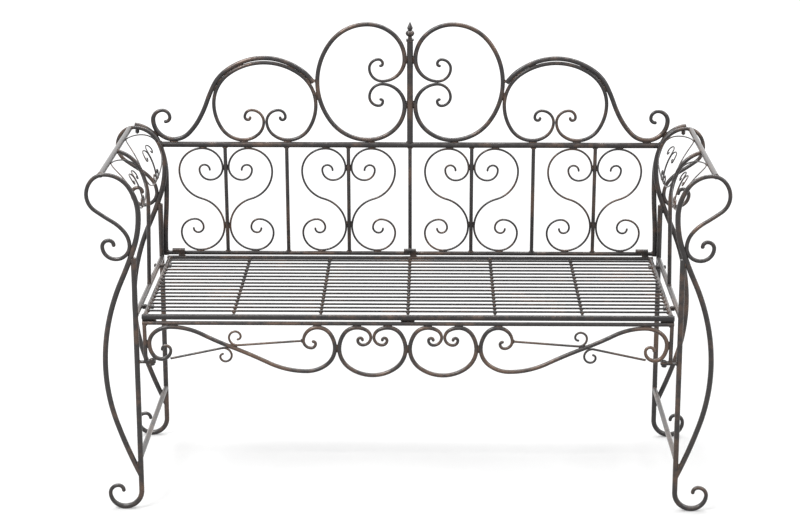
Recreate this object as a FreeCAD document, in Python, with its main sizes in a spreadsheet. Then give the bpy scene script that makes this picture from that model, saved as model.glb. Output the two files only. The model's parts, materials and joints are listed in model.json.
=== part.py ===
import FreeCAD, Part
import math
import os

# Metal garden bench of bent tube and rod, with scrolled arms, back and apron.
# X runs along the bench, Y from the front legs to the back, Z up.
# The origin lies on the floor, under the middle of the bench. All sizes are in millimetres.

Vector = FreeCAD.Vector
document = FreeCAD.newDocument("garden_bench")

# Driving sizes
driving_sizes = {
    # side frames
    "frame_spacing": 408,
    "leg_reach": 571,
    "leg_splay": 6,
    "tube_diameter": 11.5,
    "tip_diameter": 8.5,
    "weld_gap": 0.2,
    "leg_top_height": 571,
    "foot_heel_radius": 37,
    "foot_toe_radius": 31,
    "foot_curl_radius": 18,
    "foot_tip_radius": 11,
    "foot_flat_depth": 0.5,
    "bow_foot_height": 78,
    "bow_foot_angle": 66,
    "belly_overhang": 70,
    "belly_height": 326,
    "shoulder_overhang": 27,
    "shoulder_height": 522,
    "shoulder_angle": 114.5,
    "waist_inset": 14,
    "waist_height": 665,
    "loop_crown_overhang": 52,
    "loop_crown_height": 750,
    "loop_side_overhang": 91.5,
    "loop_side_height": 706,
    "throat_overhang": 41,
    "throat_height": 650,
    "throat_angle": 212,
    "knot_height": 598,
    "knot_radius": 30,
    "arm_curl_radius": 27,
    "arm_curl_inner_radius": 14,
    "arm_tip_radius": 10,
    "stretcher_height": 121,
    "post_diameter": 9,
    "post_lean": 6,
    "post_bend_height": 635,
    "post_end_angle": 12,
    "arm_bar_diameter": 12,
    "arm_bar_overhang": 61,
    "arm_bar_height": 748.5,
    "arm_wire_diameter": 3,
    "arm_loop_diameter": 10.3,
    "arm_ring_drop": 132,
    "arm_ring_point": 1.5,
    "arm_ring_opening": 2,
    "arm_ring_turns": 12,
    "arm_scroll_drop": 76,
    "arm_scroll_top_radius": 17,
    "arm_scroll_low_radius": 11,
    "arm_scroll_curl_radius": 6,
    # seat
    "seat_height": 447.5,
    "seat_tube_diameter": 12,
    "seat_side_diameter": 10,
    "seat_rear_diameter": 8.5,
    "seat_half_width": 553,
    "seat_rear_inset": 2,
    "cross_bar_diameter": 6.2,
    "cross_bar_spacing": 184,
    "cross_bar_tuck": 1.5,
    "seat_rod_diameter": 4.4,
    "seat_rod_count": 16,
    "seat_rod_margin": 28,
    # back
    "back_setback": 11.7,
    "back_tube_diameter": 11.5,
    "back_post_inset": 7,
    "back_post_waist_inset": 15,
    "back_post_end_angle": 6,
    "back_post_end_lift": 3,
    "back_post_waist_height": 640,
    "back_rail_diameter": 9.5,
    "back_rail_rise": 3,
    "top_rail_diameter": 13,
    "top_rail_height": 708,
    "back_bar_diameter": 8.5,
    "back_bar_spacing": 140,
    "small_wire_diameter": 4.8,
    "small_scroll_reach": 99,
    "small_crown_drop": 45,
    "small_flank_drop": 53,
    "small_knot_rise": 57,
    "small_toe_rise": 42,
    "small_top_radius": 29,
    "small_top_second_radius": 24,
    "small_top_third_radius": 11.5,
    "small_top_tip_radius": 12,
    "small_low_radius": 32,
    "small_low_second_radius": 19,
    "small_low_third_radius": 13,
    "small_low_tip_radius": 10,
    "big_rod_diameter": 10,
    "big_tip_diameter": 6.6,
    "big_scroll_width": 196,
    "big_scroll_height": 264,
    "big_curl_radius": 50,
    "big_curl_second_radius": 29,
    "big_curl_third_radius": 20.5,
    "big_curl_tip_radius": 9.5,
    "big_curl_end_radius": 5,
    "big_crown_reach": 83,
    "lyre_rod_diameter": 8.5,
    "lyre_tip_diameter": 6.6,
    "lyre_half_width": 115,
    "lyre_tuck": 5.3,
    "lyre_height": 177.5,
    "lyre_flank_rise": 82,
    "lyre_knot_rise": 42,
    "lyre_foot_reach": 51,
    "lyre_curl_radius": 27,
    "lyre_curl_second_radius": 15.5,
    "lyre_tip_radius": 7,
    "lyre_end_radius": 5,
    "crest_rod_diameter": 10.5,
    "crest_tip_diameter": 8,
    "crest_root_angle": 54,
    "crest_crown_gap": 1.2,
    "crest_root_tuck": 1.9,
    "crest_bend_reach": 475,
    "crest_bend_height": 769,
    "crest_bend_angle": -61,
    "crest_foot_reach": 535.8,
    "crest_heel_radius": 45,
    "crest_curl_radius": 22,
    "crest_inner_radius": 16,
    "crest_tip_radius": 10,
    "centre_post_diameter": 13.8,
    "centre_post_top": 947,
    "finial_collar_diameter": 17.5,
    "finial_collar_height": 4,
    "finial_neck_diameter": 9,
    "finial_neck_height": 6,
    "finial_bulge_diameter": 20,
    "finial_bulge_height": 15,
    "finial_bulge_sink": 1,
    "finial_acorn_diameter": 12.5,
    "finial_acorn_height": 13,
    "finial_acorn_sink": 2,
    "finial_cone_diameter": 11.5,
    "finial_tip_height": 11,
    "finial_tip_diameter": 2,
    # apron
    "apron_gap": 3.5,
    "apron_rail_diameter": 8.5,
    "apron_rod_diameter": 9,
    "apron_tip_diameter": 6.6,
    "apron_drop": 86,
    "apron_lyre_half_width": 70,
    "apron_lyre_height": 107,
    "apron_lyre_flank_drop": 48,
    "apron_lyre_knot_drop": 22,
    "apron_lyre_foot_reach": 33,
    "apron_curl_radius": 17,
    "apron_curl_second_radius": 10.5,
    "apron_curl_tip_radius": 5.5,
    "apron_curl_end_radius": 4.5,
    "long_crown_reach": 499,
    "long_side_drop": 38,
    "long_heel_reach": 521,
    "long_heel_drop": 72,
    "long_curl_radius": 20,
    "long_curl_second_radius": 10,
    "long_curl_tip_radius": 8,
    "long_bend_reach": 371,
    "long_bend_drop": 45,
    "long_bend_angle": 202,
    "long_belly_reach": 215,
    "long_belly_drop": 98.5,
    "long_flank_drop": 46,
    "long_inner_crown_reach": 190,
    "long_inner_radius": 30,
    "long_inner_second_radius": 16,
    "long_inner_tip_radius": 9.5,
    "long_inner_end_radius": 5,
    "apron_wire_diameter": 4.9,
    "high_wire_inner_drop": 30,
    "high_wire_slide": 2,
    "low_wire_angle": 225,
    "low_wire_slide": 10,
    "wire_hook_radius": 17,
    "wire_hook_second_radius": 14,
    "wire_hook_third_radius": 11,
    "wire_hook_tip_radius": 7,
    # hinges and fasteners
    "knuckle_diameter": 6,
    "knuckle_length": 14,
    "knuckle_gap": 0.3,
    "hinge_pin_diameter": 3,
    "pin_clearance": 0.15,
    "hinge_leaf_thickness": 3,
    "back_knuckle_diameter": 11,
    "back_hinge_rise": 11.5,
    "back_hinge_reach": 533,
    "apron_hinge_reach": 545,
    "bolt_diameter": 6,
    "bolt_clearance": 0.25,
    "bolt_head_diameter": 11,
    "bolt_head_height": 4,
    "bolt_end": 1,
    "nut_width": 10,
    "nut_height": 5,
    "spacer_diameter": 11,
    "seat_bolt_inset": 62,
    "lug_thickness": 3,
    "lug_depth": 11,
    "lug_bolt_inset": 13,
    "lug_end_margin": 8,
    "arm_nut_width": 8,
    "arm_nut_height": 7,
    "arm_dome_diameter": 5.5,
    "arm_dome_height": 2.5,
    "arm_nut_inset": 7,
    "arm_nut_sink": 0.9,
}

sheet = document.addObject("Spreadsheet::Sheet", "sizes")
for row, (name, value) in enumerate(driving_sizes.items(), 1):
    sheet.set("A%d" % row, name)
    sheet.set("B%d" % row, str(value))
    sheet.setAlias("B%d" % row, name)
document.recompute()


def mm(name):
    return float(sheet.get(name))


def touch(first, second):
    # centre distance of two round members that lie against each other
    return (mm(first) + mm(second)) / 2 + mm("weld_gap")


# Places that several pieces share
seat_level = mm("seat_height") - mm("seat_tube_diameter") / 2
side_level = mm("seat_height") - mm("seat_side_diameter") / 2
rear_level = mm("seat_height") - mm("seat_rear_diameter") / 2
front_reach = max(mm("tube_diameter"), mm("seat_tube_diameter"), mm("lug_depth")) / 2
rear_reach = max(mm("finial_bulge_diameter"), mm("top_rail_diameter")) / 2
front_plane = -(mm("frame_spacing") + mm("back_setback") + rear_reach - front_reach) / 2
rear_plane = front_plane + mm("frame_spacing")
back_plane = rear_plane + mm("back_setback")
seat_rear = rear_plane - mm("seat_rear_inset")
leg_x = mm("leg_reach")
leg_slope = mm("leg_splay") / mm("leg_top_height")


def leg_at(level):
    # the legs lean outwards towards the floor
    return leg_x + leg_slope * (mm("leg_top_height") - level)


side_rail_x = leg_at(side_level)

pieces = []


def keep(label, item):
    item.Label = label
    pieces.append(item)
    return item


# Curves: a knot is a point, a heading and the name of the rod's diameter there
def knot(across, up, heading, diameter, depth=0.0):
    angle = math.radians(heading)
    return Vector(across, depth, up), Vector(math.cos(angle), 0, math.sin(angle)), diameter


def curl(start, side, radii, diameter):
    # quarter turns of shrinking radius after a knot, side +1 to the left and -1 to the right
    point, heading, _ = start
    knots = []
    for radius in radii:
        inward = Vector(-heading.z, 0, heading.x) * side
        point = point + heading * radius + inward * radius
        heading = inward
        knots.append((point, heading, diameter))
    return knots


def backwards(knots):
    return [(point, heading * -1, diameter) for point, heading, diameter in reversed(knots)]


def upside_down(knots, level):
    turned = []
    for point, heading, diameter in knots:
        turned.append((Vector(point.x, point.y, 2 * level - point.z),
                       Vector(heading.x, heading.y, -heading.z), diameter))
    return turned


def arc(start, heading, end):
    # the one arc, or line, that leaves start along heading and reaches end
    chord = end - start
    along = chord.dot(heading)
    sideways = chord - heading * along
    if sideways.Length < 1e-6 * chord.Length:
        return Part.LineSegment(start, end).toShape()
    inward = sideways * (1 / sideways.Length)
    radius = chord.dot(chord) / (2 * sideways.Length)
    half_turn = math.atan2(sideways.Length, along)
    middle = start + heading * (radius * math.sin(half_turn)) + inward * (radius * (1 - math.cos(half_turn)))
    return Part.Arc(start, middle, end).toShape()


def two_arcs(first, second):
    # two tangent arcs from one knot to the next, or a single arc where one is enough
    start, leaving = first[0], first[1]
    end, arriving = second[0], second[1]
    chord = end - start
    spread = 2 * (1 - leaving.dot(arriving))
    pull = chord.dot(leaving + arriving)
    if spread < 1e-9:
        reach = chord.dot(chord) / (4 * chord.dot(arriving))
    else:
        reach = (-pull + math.sqrt(pull * pull + spread * chord.dot(chord))) / spread
    if chord.Length - abs(chord.dot(leaving)) < 1e-6 and chord.Length - abs(chord.dot(arriving)) < 1e-6:
        return [Part.LineSegment(start, end).toShape()]
    meeting = (start + leaving * reach + end - arriving * reach) * 0.5
    whole = arc(start, leaving, end)
    if (whole.tangentAt(whole.LastParameter) - arriving).Length < 1e-6:
        return [whole]
    opening = arc(start, leaving, meeting)
    return [opening, arc(meeting, opening.tangentAt(opening.LastParameter), end)]


def section(label, edge, at_end, diameter):
    place = edge.LastParameter if at_end else edge.FirstParameter
    ring = document.addObject("Part::Circle", label)
    ring.setExpression("Radius", "sizes.%s / 2" % diameter)
    ring.Placement = FreeCAD.Placement(edge.valueAt(place),
                                       FreeCAD.Rotation(Vector(0, 0, 1), edge.tangentAt(place)))
    return ring


def span(label, edges, first_diameter, last_diameter):
    line = document.addObject("Part::Feature", label + "_line")
    line.Shape = Part.Wire(edges)
    sections = [section(label + "_start", edges[0], False, first_diameter)]
    if last_diameter != first_diameter:
        sections.append(section(label + "_end", edges[-1], True, last_diameter))
    sweep = document.addObject("Part::Sweep", label)
    sweep.Sections = sections
    sweep.Spine = (line, ["Edge%d" % (number + 1) for number in range(len(edges))])
    sweep.Solid = True
    sweep.Frenet = False
    return sweep


def round_tip(label, place, outward, diameter):
    # half a ball that closes the end of a rod
    tip_end = document.addObject("Part::Sphere", label)
    tip_end.setExpression("Radius", "sizes.%s / 2" % diameter)
    tip_end.Angle1 = 0
    tip_end.Placement = FreeCAD.Placement(place, FreeCAD.Rotation(Vector(0, 0, 1), outward))
    return tip_end


def bent_rod(label, knots, rounded=()):
    # spans of even rod, with a tapered span wherever two neighbouring knots name different diameters
    spans = []
    for first, second in zip(knots, knots[1:]):
        edges = two_arcs(first, second)
        even = first[2] == second[2]
        if spans and even and spans[-1][1] == spans[-1][2] == first[2]:
            spans[-1][0].extend(edges)
        else:
            spans.append([edges, first[2], second[2]])
    swept = []
    for number, (edges, first_diameter, last_diameter) in enumerate(spans):
        swept.append(span("%s_span_%d" % (label, number), edges, first_diameter, last_diameter))
    if "start" in rounded:
        swept.append(round_tip(label + "_start_tip", knots[0][0], knots[0][1] * -1, knots[0][2]))
    if "end" in rounded:
        swept.append(round_tip(label + "_end_tip", knots[-1][0], knots[-1][1], knots[-1][2]))
    if len(swept) == 1:
        return swept[0]
    return joined(label + "_rod", swept)


def path_edges(knots):
    edges = []
    for first, second in zip(knots, knots[1:]):
        edges += two_arcs(first, second)
    return edges


def straight(label, start, end, diameter):
    run = end - start
    bar = document.addObject("Part::Cylinder", label)
    bar.setExpression("Radius", "sizes.%s / 2" % diameter)
    bar.Height = run.Length
    bar.Placement = FreeCAD.Placement(start, FreeCAD.Rotation(Vector(0, 0, 1), run))
    return bar


def cut(label, base, tool):
    result = document.addObject("Part::Cut", label)
    result.Base = base
    result.Tool = tool
    return result


def group(label, items):
    bundle = document.addObject("Part::Compound", label)
    bundle.Links = items
    return bundle


def joined(label, items):
    result = document.addObject("Part::MultiFuse", label)
    result.Shapes = items
    return result


def mirrored(label, source):
    image = document.addObject("Part::Mirroring", label)
    image.Source = source
    image.Base = Vector(0, 0, 0)
    image.Normal = Vector(1, 0, 0)
    return image


def both_sides(name, right):
    keep(name + "_right", right)
    keep(name + "_left", mirrored(name + "_mirror", right))


def block(label, corner, far_corner):
    box = document.addObject("Part::Box", label)
    box.Length = far_corner.x - corner.x
    box.Width = far_corner.y - corner.y
    box.Height = far_corner.z - corner.z
    box.Placement = FreeCAD.Placement(corner, FreeCAD.Rotation())
    return box


def clearance_rod(label, edges, diameter, gap):
    # a cutter that follows a member and leaves the weld gap around it
    line = document.addObject("Part::Feature", label + "_line")
    line.Shape = Part.Wire(edges)
    ring = section(label + "_start", edges[0], False, diameter)
    ring.setExpression("Radius", "sizes.%s / 2 + sizes.%s" % (diameter, gap))
    sweep = document.addObject("Part::Sweep", label)
    sweep.Sections = [ring]
    sweep.Spine = (line, ["Edge%d" % (number + 1) for number in range(len(edges))])
    sweep.Solid = True
    sweep.Frenet = False
    return sweep


def across_at(edges, level):
    # X of a path where it passes a height
    for edge in edges:
        low, high = edge.FirstParameter, edge.LastParameter
        if (edge.valueAt(low).z - level) * (edge.valueAt(high).z - level) > 0:
            continue
        rising = edge.valueAt(high).z > edge.valueAt(low).z
        for _ in range(60):
            middle = (low + high) / 2
            if (edge.valueAt(middle).z < level) == rising:
                low = middle
            else:
                high = middle
        return edge.valueAt(low).x
    raise ValueError("the path does not pass this height")


# Side frames: bow with arm loop, and leg with foot scroll
tube = "tube_diameter"
tip = "tip_diameter"


def bow_knots(depth):
    shoulder = knot(leg_x + mm("shoulder_overhang"), mm("shoulder_height"), mm("shoulder_angle"), tube, depth)
    waist = knot(leg_x - mm("waist_inset"), mm("waist_height"), 90, tube, depth)
    bow_side = across_at(two_arcs(shoulder, waist), mm("knot_height"))
    meeting = knot(bow_side + touch(tube, tip), mm("knot_height"), -90, tip, depth)
    radii = [mm("knot_radius"), mm("arm_curl_radius"), mm("arm_curl_inner_radius"), mm("arm_tip_radius")]
    return [
        knot(leg_at(mm("bow_foot_height")), mm("bow_foot_height"), mm("bow_foot_angle"), tube, depth),
        knot(leg_x + mm("belly_overhang"), mm("belly_height"), 90, tube, depth),
        shoulder,
        waist,
        knot(leg_x + mm("loop_crown_overhang"), mm("loop_crown_height"), 0, tip, depth),
        knot(leg_x + mm("loop_side_overhang"), mm("loop_side_height"), -90, tip, depth),
        knot(leg_x + mm("throat_overhang"), mm("throat_height"), mm("throat_angle"), tip, depth),
        meeting,
    ] + curl(meeting, 1, radii, tip)


def leg_knots(depth):
    ground = mm("tube_diameter") / 2 - mm("foot_flat_depth")
    lean = math.degrees(math.atan(leg_slope)) - 90
    ankle_level = ground + mm("foot_heel_radius")
    ankle_x = leg_at(ankle_level)
    heel = knot(ankle_x + mm("foot_heel_radius"), ground, 0, tube, depth)
    toe = curl(heel, 1, [mm("foot_toe_radius"), mm("foot_curl_radius"), mm("foot_tip_radius")], tip)
    top = knot(leg_x, mm("leg_top_height"), lean, tube, depth)
    return [top, knot(ankle_x, ankle_level, lean, tube, depth), heel] + toe


def side_frame(name, depth):
    bow = bow_knots(depth)
    leg = leg_knots(depth)
    leg_line = path_edges(leg[:2])
    leg_clear = clearance_rod(name + "_leg_clear", leg_line, tube, "weld_gap")
    both_sides(name + "_bow", cut(name + "_bow_coped", bent_rod(name + "_bow", bow, ["end"]), leg_clear))
    bow_clear = clearance_rod(name + "_bow_clear", path_edges(bow[1:4]), tube, "weld_gap")
    coped = cut(name + "_leg_coped", bent_rod(name + "_leg", leg, ["end"]), bow_clear)
    low = Vector(leg_x - mm("tube_diameter"), depth - mm("tube_diameter"), -mm("tube_diameter"))
    high = Vector(leg_x + mm("foot_heel_radius") + mm("foot_toe_radius") + mm("tube_diameter"),
                  depth + mm("tube_diameter"), 0)
    both_sides(name + "_leg", cut(name + "_leg_flat", coped, block(name + "_floor", low, high)))


side_frame("front", front_plane)
side_frame("rear", rear_plane)

# Rails between the legs, with the bolt holes of the seat in the upper one
rail_start = front_plane + touch(tube, tube) - mm("tube_diameter") / 2
rail_end = rear_plane - touch(tube, tube) + mm("tube_diameter") / 2
middle_plane = (front_plane + rear_plane) / 2
bolt_planes = [front_plane + mm("seat_bolt_inset"), rear_plane - mm("seat_bolt_inset")]


def bolt_hole(label, start, end):
    hole = straight(label, start, end, "bolt_diameter")
    hole.setExpression("Radius", "sizes.bolt_diameter / 2 + sizes.bolt_clearance")
    return hole


def drilled(name, rail, across):
    holes = []
    reach = mm("seat_tube_diameter")
    for number, depth in enumerate(bolt_planes):
        holes.append(bolt_hole("%s_hole_%d" % (name, number), Vector(across - reach, depth, side_level),
                               Vector(across + reach, depth, side_level)))
    return cut(name + "_drilled", rail, group(name + "_holes", holes))


both_sides("side_rail", drilled("side_rail", straight(
    "side_rail_bar", Vector(side_rail_x, rail_start, side_level), Vector(side_rail_x, rail_end, side_level),
    tube), side_rail_x))
stretcher_level = mm("stretcher_height")
stretcher_x = leg_at(stretcher_level)
both_sides("lower_stretcher", straight(
    "lower_stretcher_bar", Vector(stretcher_x, rail_start, stretcher_level),
    Vector(stretcher_x, rail_end, stretcher_level), tube))

# Arm rest bar between the two loops, and the post that carries it
bar_x = leg_x + mm("arm_bar_overhang")
bar_level = mm("arm_bar_height")
arm_bar_line = [Part.LineSegment(
    Vector(bar_x, front_plane + mm("tip_diameter") / 2 + mm("weld_gap"), bar_level),
    Vector(bar_x, rear_plane - mm("tip_diameter") / 2 - mm("weld_gap"), bar_level)).toShape()]
both_sides("arm_bar", span("arm_bar_tube", arm_bar_line, "arm_bar_diameter", "arm_bar_diameter"))

post_foot = side_level + mm("tube_diameter") / 2 + mm("weld_gap")
lean_angle = 90 + math.degrees(math.atan2(mm("post_lean"), mm("post_bend_height") - post_foot))
post_knots = [
    knot(side_rail_x, post_foot, lean_angle, "post_diameter", middle_plane),
    knot(side_rail_x - mm("post_lean"), mm("post_bend_height"), lean_angle, "post_diameter", middle_plane),
    knot(bar_x, bar_level, mm("post_end_angle"), "post_diameter", middle_plane),
]
bar_clear = clearance_rod("arm_bar_clear", arm_bar_line, "arm_bar_diameter", "weld_gap")
both_sides("arm_post", cut("arm_post_coped", bent_rod("arm_post_bent", post_knots), bar_clear))

# Wire rings and curls of the arms, on a face that blends from the curve of the post to that of the loops
post_line = path_edges(post_knots)
loop_knots = bow_knots(middle_plane)[2:6]
loop_line = path_edges(loop_knots)
loop_lead = sum(edge.Length for edge in path_edges(loop_knots[2:]))
loop_lead -= mm("arm_bar_overhang") - mm("loop_crown_overhang")
half_spacing = mm("frame_spacing") / 2
wire = "arm_wire_diameter"


def back_along(edges, distance):
    # point and heading of a path at a distance back from its end
    for edge in reversed(edges):
        if distance <= edge.Length:
            place = edge.getParameterByLength(edge.Length - distance)
            return edge.valueAt(place), edge.tangentAt(place)
        distance -= edge.Length
    raise ValueError("the path is too short")


def on_arm(drop, depth, down, sideways):
    # a knot on the arm's face: drop is measured down the face from the arm bar
    post_point, post_heading = back_along(post_line, drop)
    loop_point, loop_heading = back_along(loop_line, loop_lead + drop)
    share = abs(depth - middle_plane) / half_spacing
    side = 1 if depth > middle_plane else -1
    point = post_point * (1 - share) + loop_point * share
    downward = (post_heading * (1 - share) + loop_heading * share) * -1
    across = Vector(0, 1, 0) + (loop_point - post_point) * (side / half_spacing)
    heading = downward * down + across * sideways
    heading.normalize()
    return Vector(point.x, depth, point.z), heading, wire


def arm_ring(label, centre, half_width, top_drop, low_drop):
    # an oval ring on the arm's face, slightly pointed where its ends meet the arm bar
    point = mm("arm_ring_point")
    turns = int(mm("arm_ring_turns"))
    knots = []
    for turn in range(turns + 1):
        angle = math.radians(mm("arm_ring_opening") + (360 - 2 * mm("arm_ring_opening")) * turn / turns)
        rise = math.sin(angle / 2)
        drop = top_drop + (low_drop - top_drop) * rise ** point
        down = (low_drop - top_drop) * point * rise ** (point - 1) * math.cos(angle / 2) / 2
        knots.append(on_arm(drop, centre + half_width * math.sin(angle), down, half_width * math.cos(angle)))
    return bent_rod(label, knots)


def arm_scroll(label, centre, side, top_drop, low_drop):
    # a stem beside the middle of the bay, with a curl turned outwards at each end
    stem = centre + side * (mm("arm_wire_diameter") + mm("weld_gap")) / 2
    upper = mm("arm_scroll_top_radius")
    lower = mm("arm_scroll_low_radius")
    inner = mm("arm_scroll_curl_radius")
    curl_top = [
        (stem + side * upper, top_drop, 0, 1),
        (stem + side * 2 * upper, top_drop + upper, 1, 0),
        (stem + side * (2 * upper - inner), top_drop + upper + inner, 0, -1),
        (stem + side * (2 * upper - 2 * inner), top_drop + upper, -1, 0),
    ]
    curl_low = [
        (stem + side * lower, low_drop, 0, 1),
        (stem + side * 2 * lower, low_drop - lower, -1, 0),
        (stem + side * (2 * lower - inner), low_drop - lower - inner, 0, -1),
        (stem + side * (2 * lower - 2 * inner), low_drop - lower, 1, 0),
    ]
    start = [(stem, top_drop + upper, 1, 0)]
    finish = [(stem, low_drop - lower, 1, 0)]
    reversed_top = [(depth, drop, -down, -sideways) for depth, drop, down, sideways in reversed(curl_top)]
    knots = []
    for depth, drop, down, sideways in reversed_top + start + finish + curl_low:
        knots.append(on_arm(drop, depth, down, side * sideways))
    return bent_rod(label, knots, ["start", "end"])


ring_top = touch("arm_bar_diameter", wire)
bay_edges = [
    (front_plane + touch("arm_loop_diameter", wire), middle_plane - touch("post_diameter", wire)),
    (middle_plane + touch("post_diameter", wire), rear_plane - touch("arm_loop_diameter", wire)),
]
rings = []
curls = []
for number, (near, far) in enumerate(bay_edges):
    centre = (near + far) / 2
    rings.append(arm_ring("arm_ring_%d" % number, centre, (far - near) / 2, ring_top, mm("arm_ring_drop")))
    low = mm("arm_ring_drop") - mm("arm_wire_diameter") - mm("weld_gap")
    for side in (-1, 1):
        curls.append(arm_scroll("arm_scroll_%d_%d" % (number, side + 1), centre, side,
                                low - mm("arm_scroll_drop"), low))
both_sides("arm_rings", group("arm_ring_pair", rings))
both_sides("arm_scrolls", group("arm_scroll_set", curls))

# Seat frame, its rails flush at the top
seat_x = mm("seat_half_width")
seat_tube = "seat_tube_diameter"
seat_side = "seat_side_diameter"
rail_half = seat_x + mm("seat_tube_diameter") / 2
seat_rails = (("seat_front_rail", front_plane, seat_level, seat_tube),
              ("seat_rear_rail", seat_rear, rear_level, "seat_rear_diameter"))
rail_cutters = []
for name, depth, level, diameter in seat_rails:
    start = Vector(-rail_half, depth, level)
    end = Vector(rail_half, depth, level)
    keep(name, straight(name + "_bar", start, end, diameter))
    line = Part.LineSegment(start, end).toShape()
    rail_cutters.append(clearance_rod(name + "_clear", [line], diameter, "weld_gap"))
seat_gap = mm("seat_tube_diameter") / 2 + mm("weld_gap")
rear_gap = mm("seat_rear_diameter") / 2 + mm("weld_gap")
side_start = Vector(seat_x, front_plane + seat_gap, side_level)
side_end = Vector(seat_x, seat_rear - rear_gap, side_level)
both_sides("seat_side_rail", drilled("seat_side_rail", straight(
    "seat_side_bar", side_start, side_end, seat_side), seat_x))

# Seat rods, which lie on the cross bars and end at the side rails
rod = "seat_rod_diameter"
rod_level = mm("seat_height") - mm("seat_rod_diameter") / 2
rod_count = int(mm("seat_rod_count"))
rod_first = front_plane + mm("seat_rod_margin")
rod_pitch = (seat_rear - mm("seat_rod_margin") - rod_first) / (rod_count - 1)
rods = []
for row in range(rod_count):
    depth = rod_first + rod_pitch * row
    rods.append(straight("seat_rod_%d" % row, Vector(-seat_x, depth, rod_level),
                         Vector(seat_x, depth, rod_level), rod))
side_clear = clearance_rod("seat_side_clear", [Part.LineSegment(side_start, side_end).toShape()],
                           seat_side, "weld_gap")
keep("seat_rods", cut("seat_rods_coped", group("seat_rod_group", rods),
                      group("seat_rod_cutters", [side_clear, mirrored("seat_side_clear_far", side_clear)])))
cross_level = rod_level - touch(rod, "cross_bar_diameter")
cross_start = front_plane + seat_gap - mm("cross_bar_tuck")
cross_end = seat_rear - rear_gap + mm("cross_bar_tuck")
cross_bars = []
for number in range(-2, 3):
    across = number * mm("cross_bar_spacing")
    bar = straight("cross_bar_%d" % (number + 2), Vector(across, cross_start, cross_level),
                   Vector(across, cross_end, cross_level), "cross_bar_diameter")
    cross_bars.append(cut("cross_bar_coped_%d" % (number + 2), bar,
                          group("cross_bar_cutters_%d" % (number + 2), rail_cutters)))
keep("seat_cross_bars", group("cross_bar_group", cross_bars))

# Back: posts, rails and upright bars
back_tube = "back_tube_diameter"
rail_level = mm("seat_height") + mm("back_rail_rise")
top_level = mm("top_rail_height")
post_x = leg_x - mm("back_post_inset")
waist_x = leg_x - mm("back_post_waist_inset")
back_post = [
    knot(post_x, rail_level - mm("back_rail_diameter") / 2, 90, back_tube, back_plane),
    knot(waist_x, mm("back_post_waist_height"), 90, back_tube, back_plane),
    knot(leg_x + mm("loop_crown_overhang"), mm("loop_crown_height") + mm("back_post_end_lift"),
         mm("back_post_end_angle"), back_tube, back_plane),
]
both_sides("back_post", bent_rod("back_post_bent", back_post))
post_edges = path_edges(back_post)
rail_gap = mm("back_tube_diameter") / 2 + mm("weld_gap")
for name, level, diameter in (("back_bottom_rail", rail_level, "back_rail_diameter"),
                              ("back_top_rail", top_level, "top_rail_diameter")):
    reach = across_at(post_edges, level)
    far_end = Vector(reach, back_plane, level)
    bar = straight(name + "_bar", Vector(-reach, back_plane, level), far_end, diameter)
    near_cutter = clearance_rod(name + "_clear", post_edges, back_tube, "weld_gap")
    cutters = group(name + "_cutters", [near_cutter, mirrored(name + "_far", near_cutter)])
    keep(name, cut(name + "_coped", bar, cutters))

bars_low = rail_level + mm("back_rail_diameter") / 2 + mm("weld_gap")
bars_high = top_level - mm("top_rail_diameter") / 2 - mm("weld_gap")
bars = []
for number in range(-3, 4):
    across = number * mm("back_bar_spacing")
    bars.append(straight("back_bar_%d" % (number + 3), Vector(across, back_plane, bars_low),
                         Vector(across, back_plane, bars_high), "back_bar_diameter"))
keep("back_bars", group("back_bar_group", bars))


# Small scrolls of the back, a mirrored pair at every other bar
def small_scroll(label, bar, side):
    small = "small_wire_diameter"
    near = touch("back_bar_diameter", small)
    far = near + mm("small_scroll_reach")
    crown = bars_high - mm("small_wire_diameter") / 2
    toe = bars_low + mm("small_wire_diameter") / 2
    top_radii = [mm("small_top_radius"), mm("small_top_second_radius"), mm("small_top_third_radius"),
                 mm("small_top_tip_radius")]
    low_radii = [mm("small_low_radius"), mm("small_low_second_radius"), mm("small_low_third_radius"),
                 mm("small_low_tip_radius")]
    upper = knot(near, crown - mm("small_crown_drop"), -90, small)
    outer = knot(far, toe + mm("small_toe_rise"), 90, small)
    knots = backwards([upper] + curl(upper, 1, top_radii, small)) + [
        knot(near + mm("small_crown_drop"), crown, 0, small),
        knot(far, crown - mm("small_flank_drop"), -90, small),
        knot(near, toe + mm("small_knot_rise"), -90, small),
        knot(near + mm("small_knot_rise"), toe, 0, small),
        outer,
    ] + curl(outer, 1, low_radii, small)
    placed = []
    for point, heading, diameter in knots:
        placed.append((Vector(bar + side * point.x, back_plane, point.z),
                       Vector(side * heading.x, 0, heading.z), diameter))
    return bent_rod(label, placed, ["start", "end"])


for number, place in enumerate((-3, -1, 1, 3), 1):
    bar = place * mm("back_bar_spacing")
    keep("back_scroll_pair_%d" % number, group("back_scroll_pair_%d_group" % number, [
        small_scroll("small_scroll_%d_left" % number, bar, -1),
        small_scroll("small_scroll_%d_right" % number, bar, 1)]))

# Centre post with its finial
rail_top = top_level + mm("top_rail_diameter") / 2 + mm("weld_gap")
keep("centre_post", straight("centre_post_bar", Vector(0, back_plane, rail_top),
                             Vector(0, back_plane, mm("centre_post_top")), "centre_post_diameter"))


def round_lump(label, level, diameter, height):
    lump = document.addObject("Part::Ellipsoid", label)
    lump.setExpression("Radius1", "sizes.%s / 2" % height)
    lump.setExpression("Radius2", "sizes.%s / 2" % diameter)
    lump.Angle1 = -90
    lump.Angle2 = 90
    lump.Placement = FreeCAD.Placement(Vector(0, back_plane, level), FreeCAD.Rotation())
    return lump


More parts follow.
